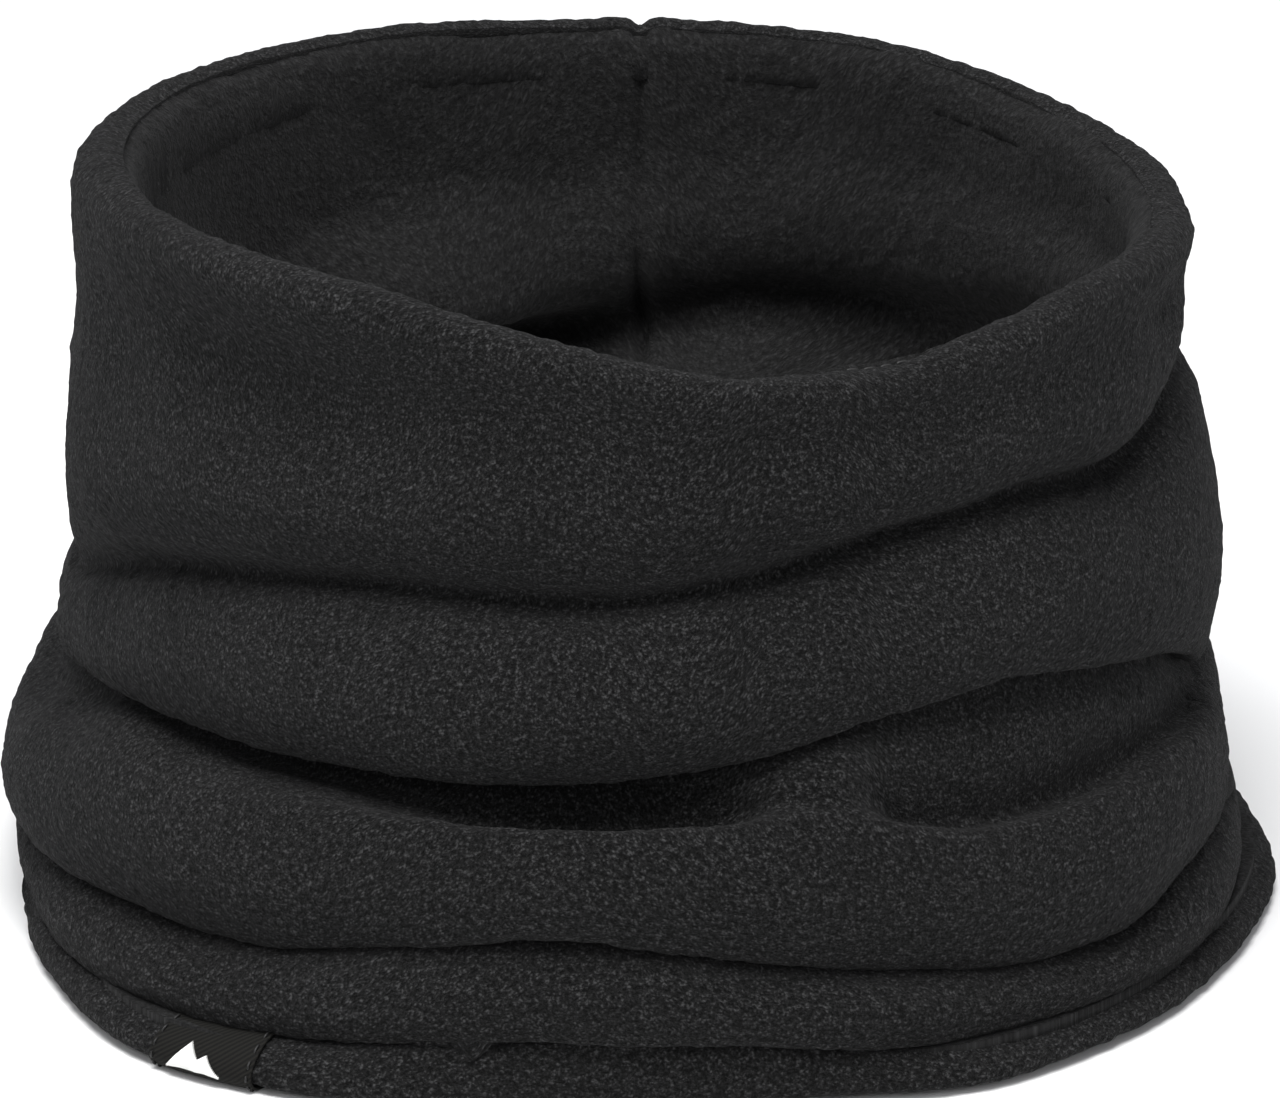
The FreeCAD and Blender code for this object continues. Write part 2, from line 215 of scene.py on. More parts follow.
RIM_BEND = {                # radius of the rolled rim, and how far its foot is drawn in
    -180: (4.6, 0.0), -120: (5.0, 0.2), -88: (6.0, 0.6), -60: (5.6, 0.8), -30: (5.0, 0.4),
    0: (4.7, 0.0), 60: (4.8, 0.0), 90: (5.2, 0.4), 120: (4.7, 0.0),
}
HEM_CLEAR = 0.8             # the hem's fleece stands this far off the floor, on its pile
HEM_TURN = 8.0              # how far the hem turns in underneath
HEM_FLAT = 3.2              # from there out to here it lies flat
HEM_CORNER = (-0.6, -2.0)   # from the hem's widest line to the middle of its lower bend
RIM_ROLL = [(0.86, 0.35), (0.55, 0.84), (0.02, 1.0), (-0.42, 0.90)]     # in bend radii


def controls(azimuths):
    """The points that each row's cloth passes through, and how many steps follow each."""
    hem, rim = line_round(HEM, azimuths), line_round(RIM_TOP, azimuths)
    c4, r4, c3 = (line_round(t, azimuths) for t in (CREASE_4, ROLL_4, CREASE_3))
    r3, shoulder = line_round(ROLL_3, azimuths), line_round(SHOULDER_3, azimuths)
    pocket, shelf = line_round(POCKET, azimuths), line_round(SHELF, azimuths)
    c2, r2, c1 = (line_round(t, azimuths) for t in (CREASE_2, ROLL_2, CREASE_1))
    bulge, foot = line_round(BULGE_1, azimuths), line_round(RIM_FOOT, azimuths)
    under = hem.copy()
    under[:, 1] = HEM_CLEAR
    roll = line_round(RIM_BEND, azimuths)
    b = roll[:, :1]
    foot = foot - np.stack([roll[:, 1], 0 * roll[:, 1]], axis=1)
    centre = rim - b
    return [
        (shifted(under, -HEM_TURN, 0.0), 6),
        (shifted(under, -HEM_FLAT, 0.0), 5),
        (shifted(hem, *HEM_CORNER), 4),
        (hem, 4),
        (lip(hem, c4, 0.55, 0.12), 5),
        (c4, 6),
        (lip(r4, c4, 0.62, -0.06), 8),
        (r4, 8),
        (lip(r4, c3, 0.62, 0.28), 7),
        (c3, 7),
        (lip(r3, c3, 0.62, -0.10), 8),
        (lip(r3, c3, 0.97, 0.45), 8),
        (r3, 8),
        (shoulder, 8),
        (pocket, 6),
        (shelf, 6),
        (c2, 7),
        (lip(r2, c2, 0.58, -0.06), 7),
        (lip(r2, c2, 0.93, 0.34), 10),
        (r2, 11),
        (lip(r2, c1, 0.50, 0.22), 11),
        (c1, 10),
        (lip(bulge, c1, 0.62, 0.36), 12),
        (bulge, 14),
        (foot, 8),
    ] + [(centre + b * place, count) for place, count in zip(RIM_ROLL, (6, 6, 5, 0))]


def through(points):
    """The cloth's path through the control points: Catmull-Rom, evenly stepped between them."""
    lines = np.stack([p for p, _ in points])
    counts = [n for _, n in points]
    ends = np.concatenate([2 * lines[:1] - lines[1:2], lines, 2 * lines[-1:] - lines[-2:-1]])
    path = []
    for i, count in enumerate(counts[:-1]):
        p0, p1, p2, p3 = ends[i:i + 4]
        span = [np.sqrt(np.linalg.norm(q - p, axis=1))[:, None] + 1e-6
                for p, q in ((p0, p1), (p1, p2), (p2, p3))]
        m1 = (p2 - p1) + span[1] * ((p1 - p0) / span[0] - (p2 - p0) / (span[0] + span[1]))
        m2 = (p2 - p1) + span[1] * ((p3 - p2) / span[2] - (p3 - p1) / (span[1] + span[2]))
        for t in np.arange(count) / count:
            path.append((2 * t**3 - 3 * t**2 + 1) * p1 + (t**3 - 2 * t**2 + t) * m1
                        + (3 * t**2 - 2 * t**3) * p2 + (t**3 - t**2) * m2)
    path.append(lines[-1])
    return np.stack(path, axis=1)


def softened(path, passes):
    """The path with its bends rounded along the cloth."""
    path = path.copy()
    for _ in range(passes):
        path[:, 1:-1] += 0.5 * ((path[:, :-2] + path[:, 2:]) / 2 - path[:, 1:-1])
    return path


def inward(path):
    """Unit normals of each row's path, pointing into the cloth."""
    run = np.gradient(path, axis=1)
    normal = np.stack([-run[..., 1], run[..., 0]], axis=-1)
    return normal / np.linalg.norm(normal, axis=-1, keepdims=True)


ROUNDS, REACH, PUSH = 14, 44, 1.5       # times, steps to look each way, most mm a time


def kept_off(path, wall, gap):
    """The path pushed off the wall until it is a gap away from all of it, and smooth."""
    path = path.copy()
    steps = path.shape[1]
    for _ in range(ROUNDS):
        nearest = np.full(path.shape[:2], np.inf)
        away = np.zeros_like(path)
        for shift in range(-REACH, REACH + 1):
            low, high = max(0, -shift), min(steps, steps - shift)
            between = path[:, low:high] - wall[:, low + shift:high + shift]
            distance = np.linalg.norm(between, axis=-1)
            closer = distance < nearest[:, low:high]
            nearest[:, low:high] = np.where(closer, distance, nearest[:, low:high])
            unit = between / np.maximum(distance, 1e-6)[..., None]
            away[:, low:high] = np.where(closer[..., None], unit, away[:, low:high])
        path += away * np.clip(gap - nearest, 0, PUSH)[..., None]
        path = softened(path, 2)
    return path


def cloth_noise(arcs, spread_round, spread_along):
    """Seeded noise over the cloth, in blobs of the given spread in mm, the same size all over.

    arcs holds each row's length along the cloth; the noise is periodic round the tube.
    """
    rows = arcs.shape[0]
    step = spread_along / 2
    length = arcs.max() + 12 * spread_along
    count = int(length / step)
    fu = np.fft.fftfreq(rows, GIRTH / rows)[:, None]
    fv = np.fft.rfftfreq(count, step)[None, :]
    keep = np.exp(-2 * (math.pi * fu * spread_round) ** 2 - 2 * (math.pi * fv * spread_along) ** 2)
    field = np.fft.irfft2(np.fft.rfft2(RNG.standard_normal((rows, count))) * keep, s=(rows, count))
    field /= field.std()
    at = arcs / step
    low = np.clip(at.astype(int), 0, count - 2)
    part = at - low
    row = np.arange(rows)[:, None]
    return field[row, low] * (1 - part) + field[row, low + 1] * part


def finer(path, rows):
    """The grid with more rows round the tube, by Fourier interpolation."""
    spectrum = np.fft.rfft(path, axis=0)
    wide = np.zeros((rows // 2 + 1,) + path.shape[1:], complex)
    wide[:spectrum.shape[0]] = spectrum
    return np.fft.irfft(wide, n=rows, axis=0) * (rows / path.shape[0])


def denser(path, times):
    """The grid with more steps along the cloth."""
    steps = path.shape[1]
    at = np.linspace(0, steps - 1, (steps - 1) * times + 1)
    i = np.clip(at.astype(int), 0, steps - 2)
    t = (at - i)[None, :, None]
    p0, p1 = path[:, np.maximum(i - 1, 0)], path[:, i]
    p2, p3 = path[:, i + 1], path[:, np.minimum(i + 2, steps - 1)]
    return 0.5 * (2 * p1 + (p2 - p0) * t + (2 * p0 - 5 * p1 + 4 * p2 - p3) * t**2
                  + (3 * p1 - p0 - 3 * p2 + p3) * t**3)


def arc_lengths(path):
    steps = np.linalg.norm(np.diff(path, axis=1), axis=-1)
    return np.concatenate([np.zeros((path.shape[0], 1)), np.cumsum(steps, axis=1)], axis=1)


def points_of(path, azimuths):
    """Positions, in metres, of a grid of radius and height."""
    turn = np.radians(azimuths)[:, None]
    radius, height = path[..., 0], path[..., 1]
    return np.stack([radius * np.sin(turn), -radius * np.cos(turn), height], axis=-1) * MM


# ------------------------------------------------------------------ meshes

def make_object(name, points, faces, material):
    mesh = bpy.data.meshes.new(name)
    mesh.from_pydata(points.tolist(), [], faces)
    mesh.polygons.foreach_set("use_smooth", np.ones(len(mesh.polygons), bool))
    mesh.materials.append(material)
    obj = bpy.data.objects.new(name, mesh)
    bpy.context.collection.objects.link(obj)
    return obj


def shell(name, outer, inner, outer_arcs, inner_arcs, material):
    """A closed cloth of two grids of points, outer face and inner face, round the tube.

    Both grids have the same rows. The arcs are each face's length along the cloth, in mm,
    and give the texture its scale.
    """
    rows, steps = outer.shape[:2]
    inner_steps = inner.shape[1]
    points = np.concatenate([outer.reshape(-1, 3), inner.reshape(-1, 3)])
    row = np.arange(rows)
    after = (row + 1) % rows

    def quads(step_count, base, flip):
        i = np.arange(step_count - 1)
        a = base + row[:, None] * step_count + i
        b = base + after[:, None] * step_count + i
        face = np.stack([a, b, b + 1, a + 1], axis=-1).reshape(-1, 4)
        return face[:, ::-1] if flip else face

    offset = rows * steps
    faces = [quads(steps, 0, False), quads(inner_steps, offset, True)]
    for end, inner_end, flip in ((0, 0, True), (steps - 1, inner_steps - 1, False)):
        a, b = row * steps + end, after * steps + end
        c, d = offset + after * inner_steps + inner_end, offset + row * inner_steps + inner_end
        face = np.stack([a, b, c, d], axis=-1)
        faces.append(face[:, ::-1] if flip else face)
    faces = np.concatenate(faces)
    obj = make_object(name, points, faces.tolist(), material)
    across = np.arange(rows) / rows * GIRTH
    u = np.concatenate([np.repeat(across, steps), np.repeat(across, inner_steps)])
    v = np.concatenate([outer_arcs.reshape(-1), inner_arcs.reshape(-1)])
    corners = np.stack([u, v], axis=-1)[faces]
    over = np.ptp(corners[..., 0], axis=1) > GIRTH / 2
    corners[..., 0] += np.where(over[:, None] & (corners[..., 0] < GIRTH / 2), GIRTH, 0)
    layer = obj.data.uv_layers.new(name="cloth")
    layer.data.foreach_set("uv", (corners * UV_PER_MM).astype(np.float32).reshape(-1))
    return obj


def normals(points):
    run_u = np.roll(points, -1, axis=0) - np.roll(points, 1, axis=0)
    normal = np.cross(run_u, np.gradient(points, axis=1))
    return normal / np.linalg.norm(normal, axis=-1, keepdims=True)


def displaced(points, field):
    """The grid of points moved along its own normals by a field, in mm."""
    return points + normals(points) * field[..., None] * MM


def on_cloth(grid, azimuth, step):
    """Values of a grid between its rows and steps, at azimuths in degrees."""
    rows, steps = grid.shape[:2]
    row = (np.asarray(azimuth, float) + 180) / 360 * rows
    step = np.clip(np.asarray(step, float), 0, steps - 1.001)
    i, j = np.floor(row).astype(int), np.floor(step).astype(int)
    a, b = (row - i)[..., None], (step - j)[..., None]
    i, k = i % rows, (i + 1) % rows
    return ((grid[i, j] * (1 - b) + grid[i, j + 1] * b) * (1 - a)
            + (grid[k, j] * (1 - b) + grid[k, j + 1] * b) * a)


def patch(name, lower, upper, material):
    """A closed thin piece of two open grids of points, its back and its face."""
    rows, steps = lower.shape[:2]
    count = rows * steps
    index = np.arange(count).reshape(rows, steps)
    face = np.stack([index[:-1, :-1], index[1:, :-1], index[1:, 1:], index[:-1, 1:]], axis=-1)
    face = face.reshape(-1, 4)
    rim = np.concatenate([index[:-1, 0], index[-1, :-1], index[:0:-1, -1], index[0, :0:-1]])
    after = np.roll(rim, -1)
    sides = np.stack([rim, after, after + count, rim + count], axis=-1)
    faces = np.concatenate([face[:, ::-1], face + count, sides])
    points = np.concatenate([lower.reshape(-1, 3), upper.reshape(-1, 3)])
    obj = make_object(name, points, faces.tolist(), material)
    width = np.linalg.norm(np.diff(upper, axis=0), axis=-1).sum(axis=0).mean() / MM
    height = np.linalg.norm(np.diff(upper, axis=1), axis=-1).sum(axis=1).mean() / MM
    u, v = np.meshgrid(np.linspace(0, width, rows), np.linspace(0, height, steps), indexing="ij")
    uv = np.stack([np.tile(u.reshape(-1), 2), np.tile(v.reshape(-1), 2)], axis=-1)
    layer = obj.data.uv_layers.new(name="cloth")
    layer.data.foreach_set("uv", (uv[faces] * UV_PER_MM).astype(np.float32).reshape(-1))
    return obj


ASKEW = np.array([0.31, 0.17, 0.94])        # a direction that no thread runs along
TIP = 0.35                  # a thread's girth at its ends, as a share of the full one
TINY = 1e-12                # keeps a division from failing


def threads(name, paths, radius, material, sides=7):
    """Short lengths of thread, each a rounded tube along its path, in one mesh. Lengths in m."""
    all_points, all_faces, base = [], [], 0
    for path in paths:
        path = np.asarray(path, float)
        count = len(path)
        run = np.gradient(path, axis=0)
        run /= np.linalg.norm(run, axis=1, keepdims=True) + TINY
        side = np.cross(run, ASKEW)
        side /= np.linalg.norm(side, axis=1, keepdims=True) + TINY
        other = np.cross(run, side)
        along = np.linspace(-1, 1, count)
        girth = radius * np.maximum(1 - np.abs(along) ** 6 * (1 - TIP), 0.05)
        turn = np.arange(sides) / sides * 2 * math.pi
        ring = (side[:, None] * np.cos(turn)[None, :, None]
                + other[:, None] * np.sin(turn)[None, :, None]) * girth[:, None, None]
        tube = (path[:, None] + ring).reshape(-1, 3)
        i = np.arange(count - 1)[:, None] * sides
        j = np.arange(sides)
        k = (j + 1) % sides
        quads = np.stack([i + j, i + k, i + sides + k, i + sides + j], axis=-1).reshape(-1, 4)
        ends = np.stack([path[0], path[-1]])
        cap_low = [[count * sides, int(b), int(a)] for a, b in zip(j, k)]
        cap_high = [[count * sides + 1, (count - 1) * sides + int(a), (count - 1) * sides + int(b)]
                    for a, b in zip(j, k)]
        all_points.append(np.concatenate([tube, ends]))
        all_faces.extend((quads[:, ::-1] + base).tolist())
        all_faces.extend([[v + base for v in reversed(tri)] for tri in cap_low + cap_high])
        base += count * sides + 2
    return make_object(name, np.concatenate(all_points), all_faces, material)


# ------------------------------------------------------------------ materials

def new_material(name, base=(0.02, 0.02, 0.02), rough=0.95):
    material = bpy.data.materials.new(name)
    material.use_nodes = True
    tree = material.node_tree
    shader = tree.nodes["Principled BSDF"]
    shader.inputs["Base Color"].default_value = (*base, 1)
    shader.inputs["Roughness"].default_value = rough
    return material, tree, shader


class Nodes:
    """Short ways to add and join a material's nodes, in the cloth's own texture space."""

    def __init__(self, tree):
        self.nodes, self.links = tree.nodes, tree.links
        self.uv = self.nodes.new("ShaderNodeUVMap")
        self.uv.uv_map = "cloth"

    def texture(self, kind, size_mm, vector=None, **inputs):
        """A texture whose features are about size_mm across."""
        node = self.nodes.new(kind)
        node.inputs["Scale"].default_value = 1 / (UV_PER_MM * size_mm)
        for name, value in inputs.items():
            node.inputs[name].default_value = value
        self.links.new(vector or self.uv.outputs["UV"], node.inputs["Vector"])
        return node

    def math(self, operation, a, b):
        node = self.nodes.new("ShaderNodeMath")
        node.operation = operation
        for socket, value in zip(node.inputs, (a, b)):
            if isinstance(value, (int, float)):
                socket.default_value = value
            else:
                self.links.new(value, socket)
        return node.outputs[0]

    def spread(self, value, low, high, to_low=0.0, to_high=1.0):
        node = self.nodes.new("ShaderNodeMapRange")
        self.links.new(value, node.inputs["Value"])
        for name, number in (("From Min", low), ("From Max", high),
                             ("To Min", to_low), ("To Max", to_high)):
            node.inputs[name].default_value = number
        return node.outputs["Result"]

    def colours(self, value, *stops):
        node = self.nodes.new("ShaderNodeValToRGB")
        ramp = node.color_ramp
        while len(ramp.elements) < len(stops):
            ramp.elements.new(0.5)
        for element, (position, colour) in zip(ramp.elements, stops):
            element.position = position
            element.color = (*colour, 1)
        self.links.new(value, node.inputs["Fac"])
        return node.outputs["Color"]

    def times(self, colour, value):
        node = self.nodes.new("ShaderNodeVectorMath")
        node.operation = "SCALE"
        self.links.new(colour, node.inputs[0])
        self.links.new(value, node.inputs["Scale"])
        return node.outputs[0]

    def bump(self, height, distance_mm, strength, normal=None):
        node = self.nodes.new("ShaderNodeBump")
        node.inputs["Distance"].default_value = distance_mm * MM
        node.inputs["Strength"].default_value = strength
        self.links.new(height, node.inputs["Height"])
        if normal:
            self.links.new(normal, node.inputs["Normal"])
        return node.outputs["Normal"]


def fleece(name, dark, middle, light, grain, bump, sheen):
    """Brushed fleece: matted fibre ends about a grain across, mottled, with a soft sheen."""
    material, tree, shader = new_material(name)
    n = Nodes(tree)
    fibres = n.texture("ShaderNodeTexNoise", grain, Detail=4.0, Roughness=0.68, Distortion=0.4)
    specks = n.texture("ShaderNodeTexVoronoi", grain * 1.5, Randomness=1.0)
    tufts = n.texture("ShaderNodeTexNoise", grain * 2.4, Detail=2.0, Roughness=0.5)
    wear = n.texture("ShaderNodeTexNoise", 30.0, Detail=2.0, Roughness=0.5)
    ends = n.spread(specks.outputs["Distance"], 0.62, 0.05)
    matted = n.spread(fibres.outputs["Fac"], 0.30, 0.70)
    tufted = n.spread(tufts.outputs["Fac"], 0.30, 0.70)
    height = n.math("ADD", n.math("MULTIPLY", ends, 0.25), n.math("MULTIPLY", matted, 0.45))
    height = n.math("ADD", height, n.math("MULTIPLY", tufted, 0.30))
    base = n.colours(height, (0.26, dark), (0.50, middle), (0.78, light))
    patchy = n.spread(wear.outputs["Fac"], 0.3, 0.7, 0.88, 1.10)
    n.links.new(n.times(base, patchy), shader.inputs["Base Color"])
    n.links.new(n.bump(height, grain * 1.1, bump), shader.inputs["Normal"])
    shader.inputs["Sheen Weight"].default_value = sheen
    shader.inputs["Sheen Roughness"].default_value = 0.45
    shader.inputs["Sheen Tint"].default_value = (0.62, 0.62, 0.63, 1)
    shader.inputs["Specular IOR Level"].default_value = 0.12
    return material


TWISTS_PER_M = 4000


def thread_material(name, colour):
    """Twisted sewing thread."""
    material, tree, shader = new_material(name, colour, 0.6)
    coordinates = tree.nodes.new("ShaderNodeTexCoord")
    twist = tree.nodes.new("ShaderNodeTexNoise")
    twist.inputs["Scale"].default_value = TWISTS_PER_M
    tree.links.new(coordinates.outputs["Object"], twist.inputs["Vector"])
    bump = tree.nodes.new("ShaderNodeBump")
    bump.inputs["Distance"].default_value = 0.08 * MM
    bump.inputs["Strength"].default_value = 0.6
    tree.links.new(twist.outputs["Fac"], bump.inputs["Height"])
    tree.links.new(bump.outputs["Normal"], shader.inputs["Normal"])
    return material


def twill(name, dark, light):
    """Narrow woven ribbon: fine diagonal ribs crossed by the weft."""
    material, tree, shader = new_material(name, rough=0.85)
    n = Nodes(tree)
    mapping = n.nodes.new("ShaderNodeMapping")
    mapping.inputs["Rotation"].default_value = (0, 0, math.radians(52))
    n.links.new(n.uv.outputs["UV"], mapping.inputs["Vector"])
    ribs = n.texture("ShaderNodeTexWave", 2.1, mapping.outputs["Vector"], Distortion=0.5,
                     **{"Detail Scale": 6.0})
    weft = n.texture("ShaderNodeTexNoise", 0.22, Detail=2.0)
    height = n.math("ADD", n.math("MULTIPLY", ribs.outputs["Fac"], 0.75),
                    n.math("MULTIPLY", weft.outputs["Fac"], 0.35))
    n.links.new(n.colours(height, (0.2, dark), (0.9, light)), shader.inputs["Base Color"])
    n.links.new(n.bump(height, 0.12, 0.7), shader.inputs["Normal"])
    shader.inputs["Specular IOR Level"].default_value = 0.2
    return material


def satin(name, colour):
    """Smooth printed-label ribbon, faintly rippled."""
    material, tree, shader = new_material(name, colour, 0.45)
    n = Nodes(tree)
    weave = n.texture("ShaderNodeTexNoise", 0.25, Detail=2.0)
    ripple = n.texture("ShaderNodeTexNoise", 5.0, Detail=1.0)
    normal = n.bump(weave.outputs["Fac"], 0.06, 0.5)
    n.links.new(n.bump(ripple.outputs["Fac"], 0.4, 0.4, normal), shader.inputs["Normal"])
    tone = n.spread(weave.outputs["Fac"], 0.3, 0.7, 0.9, 1.05)
    plain = n.nodes.new("ShaderNodeRGB")
    plain.outputs[0].default_value = (*colour, 1)
    n.links.new(n.times(plain.outputs[0], tone), shader.inputs["Base Color"])
    return material


OUTER_CLOTH = fleece("outer_fleece", (0.0010, 0.0010, 0.0010), (0.0108, 0.0108, 0.0109),
                     (0.056, 0.056, 0.057), 0.40, 1.2, 0.04)
LINING_CLOTH = fleece("lining_fleece", (0.006, 0.006, 0.006), (0.0125, 0.0125, 0.0126),
                      (0.027, 0.027, 0.0275), 0.60, 0.8, 0.045)
BLACK_THREAD = thread_material("sewing_thread", (0.003, 0.003, 0.003))
MOTIF_THREAD = thread_material("motif_thread", (0.78, 0.78, 0.76))
LABEL_TWILL = twill("label_twill", (0.0012, 0.0012, 0.0010), (0.0075, 0.0072, 0.0058))
CARE_SATIN = satin("care_satin", (0.60, 0.60, 0.58))

# ------------------------------------------------------------------ the cloth

# Where the lining bellies inwards, clear of the outer fleece:
# azimuth, half-width in degrees, height, half-height above, half-height below, depth in mm.
BELLIES = [
    (-153, 3.5, 99, 18, 14, 1.4),
    (-163, 17, 93, 9, 5, 4.0),
    (160, 24, 103, 6, 4, 2.2),
    (150, 26, 88, 10, 7, 4.0),
    (-148, 31, 68, 13, 4.5, 18.0),
    (168, 19, 54, 8, 9, 26.0),
    (-100, 22, 60, 12, 7, 6.0),
    (100, 22, 66, 12, 7, 6.0),
    (10, 50, 62, 12, 7, 4.0),
]


def bellied(path, azimuths):
    """The lining's path with its inward folds."""
    depth = np.zeros(path.shape[:2])
    for azimuth, wide, height, above, below, inwards in BELLIES:
        aside = (azimuths - azimuth + 180) % 360 - 180
        up = path[..., 1] - height
        tall = np.where(up > 0, above, below)
        depth += inwards * np.exp(-(aside[:, None] / wide) ** 2 - (up / tall) ** 2)
    moved = path.copy()
    moved[..., 0] -= depth
    return moved


RIM_TURNS = [190, 178, 166, 154, 142, 128, 111]     # degrees round the rim's bend
RIM_TUCK = [1, 1, 1, 1, 1, 0.99, 0.93]              # its end goes in under the outer fleece's


def lining_rim(azimuths):
    """The lining's last stretch, up inside the rim roll to its top."""
    rim, roll = line_round(RIM_TOP, azimuths), line_round(RIM_BEND, azimuths)
    bend = roll[:, :1]
    centre = rim - bend
    return np.stack([centre + bend * k * np.array([math.cos(t), math.sin(t)])
                     for t, k in zip(np.radians(RIM_TURNS), RIM_TUCK)], axis=1)


BACK_RADIUS = 88            # of the wall where the back seams run, in mm


def seam_dent(azimuths, wide, depth, shoulder):
    """How a seam at the back draws the cloth in, and swells it on both sides, in mm."""
    aside = np.radians(180 - np.abs(azimuths)) * BACK_RADIUS
    return (-depth * np.exp(-(aside / wide) ** 2)
            + shoulder * np.exp(-((aside - 3.2 * wide) / (1.6 * wide)) ** 2))[:, None]


FREE_STEPS = [20, 45, 170, 195]         # where the uneven folds set in, and where they end
LINING_FOOT, FOOT_EASE = 4.2, 0.8       # mm; the lining stands on the turned-in hem
LINING_FIRST, LINING_LAST = 17, -38     # the outer fleece's steps that the lining follows
DRAWN_STEPS = 22                        # over these the lining draws in to the rim's roll
LINING_SLACK, LEAST_SLACK = 0.7, 0.4    # mm between the layers
RIM_STEPS, RIM_THICK = 6, 1.2           # the lining thins out to this at the rim
# Uneven pile: height, blob size round the tube and blob size along the cloth, in mm.
OUTER_PILE = [(0.08, 0.5, 0.5), (0.06, 1.4, 1.4), (0.22, 8, 5)]
LINING_PILE = [(0.10, 0.6, 0.6), (0.09, 1.7, 1.7), (0.30, 9, 7)]


def pile_height(arcs, layers):
    """The pile's unevenness over the cloth, in mm."""
    return sum(height * cloth_noise(arcs, wide, long) for height, wide, long in layers)


azimuths, fine = around(COARSE), around(AROUND)
outside = softened(through(controls(azimuths)), 3)
swell = cloth_noise(arc_lengths(outside), 20, 9)
lift = cloth_noise(arc_lengths(outside), 24, 10)
free = np.interp(np.arange(outside.shape[1]), FREE_STEPS, [0, 1, 1, 0])
outside[..., 0] += 0.5 * swell * free
outside[..., 1] += 0.4 * lift * free
outside = softened(outside, 2)

outer_fine = denser(finer(outside, AROUND), 2)
outer_arcs = arc_lengths(outer_fine)
outer_points = points_of(outer_fine, fine)
pile = pile_height(outer_arcs, OUTER_PILE) + seam_dent(fine, 1.3, 1.0, 0.35)
outer_face = displaced(outer_points, pile)
hidden = finer(outside + inward(outside) * THICK, AROUND)
outer_obj = shell("outer_fleece", outer_face, points_of(hidden, fine), outer_arcs,
                  arc_lengths(hidden), OUTER_CLOTH)

wall = outside[:, LINING_FIRST:LINING_LAST]
near = softened(wall, 40)
lining = bellied(near + inward(near) * (2 * THICK + LINING_SLACK), azimuths)
lining = kept_off(lining, wall, 2 * THICK + LEAST_SLACK)
above = (lining[..., 1] - LINING_FOOT) / FOOT_EASE
lining[..., 1] = LINING_FOOT + FOOT_EASE * np.logaddexp(0, above)
rim_part = lining_rim(azimuths)
drawn_in = np.clip(np.arange(-DRAWN_STEPS, 0) / DRAWN_STEPS + 1, 0, 1) ** 2
lining[:, -DRAWN_STEPS:, 0] -= (lining[:, -1:, 0] - rim_part[:, :1, 0]) * drawn_in
lining = softened(np.concatenate([lining, rim_part], axis=1), 6)
lining_fine = denser(finer(lining, AROUND), 2)
lining_arcs = arc_lengths(lining_fine)
pile = -(pile_height(lining_arcs, LINING_PILE) + seam_dent(fine, 1.3, 1.9, 0.6))
lining_points = points_of(lining_fine, fine)
lining_face = displaced(lining_points, pile)
behind = lining - inward(lining) * THICK
behind[:, -RIM_STEPS:] = lining[:, -RIM_STEPS:] + [0.0, -RIM_THICK]
behind[..., 1] = np.maximum(behind[..., 1], LINING_FOOT - 0.2)
behind = finer(behind, AROUND)
lining_obj = shell("lining_fleece", points_of(behind, fine), lining_face, arc_lengths(behind),
                   lining_arcs, LINING_CLOTH)

# ------------------------------------------------------------------ seams

STITCH = 2.2                # mm, the length of one stitch


def stitch_paths(points, out, pitch, length, dip, count_points=7):
    """Stitches along a line of points: each rises from the cloth and dives back into it."""
    steps = np.linalg.norm(np.diff(points, axis=0), axis=1)
    at = np.concatenate([[0], np.cumsum(steps)])
    paths = []
    for start in np.arange(pitch / 2, at[-1] - length, pitch):
        where = np.linspace(start, start + length, count_points)
        path = np.stack([np.interp(where, at, points[:, k]) for k in range(3)], axis=1)
        normal = np.stack([np.interp(where, at, out[:, k]) for k in range(3)], axis=1)
        sink = (np.linspace(-1, 1, count_points) ** 4)[:, None] * dip
        paths.append(path - normal * sink)
    return paths


def seam(name, line, out, sunk, pitch, dip, radius):
    """A row of stitches along a line of points, sunk into the cloth. Sizes in mm."""
    paths = stitch_paths(line - out * sunk * MM, out, pitch * MM, STITCH * MM, dip * MM)
    return threads(name, paths, radius * MM, BLACK_THREAD)


def ring(grid, step):
    """One line of a grid, all the way round the tube and closed."""
    return np.concatenate([grid[:, step], grid[:1, step]])


BACK = 0                    # the row at the back seams
outer_out, lining_out = normals(outer_points), -normals(lining_points)
outer_seam = seam("outer_back_seam", outer_face[BACK, 34:-6], outer_out[BACK, 34:-6],
                  0.05, 2.6, 0.5, 0.28)
lining_seam = seam("lining_back_seam", lining_face[BACK, 4:-4], lining_out[BACK, 4:-4],
                   0.25, 2.6, 0.5, 0.26)
rim_seam = seam("rim_seam_thread", ring(lining_face, -1), ring(lining_out, -1),
                0.8, 2.8, 0.3, 0.26)
hem_seam = seam("hem_seam_thread", ring(lining_face, 2), ring(lining_out, 2),
                -0.15, 2.8, 0.4, 0.3)

# ------------------------------------------------------------------ labels

LABEL_AZIMUTH, LABEL_HALF = -37.5, 4.9           # degrees
LABEL_FIRST, LABEL_LAST = 3, 54                  # the outer fleece's steps that it covers
LABEL_OFF, LABEL_TOP = 0.30, 0.72                # mm off the cloth, its back and its face
across = np.linspace(LABEL_AZIMUTH - LABEL_HALF, LABEL_AZIMUTH + LABEL_HALF, 60)
along = np.linspace(LABEL_FIRST, LABEL_LAST, 60)
label_at = np.meshgrid(across, along, indexing="ij")
label_base = on_cloth(outer_points, *label_at)
label_out = on_cloth(outer_out, *label_at)
label_back = label_base + label_out * LABEL_OFF * MM
label_face = label_base + label_out * LABEL_TOP * MM
label_obj = patch("woven_label", label_back, label_face, LABEL_TWILL)


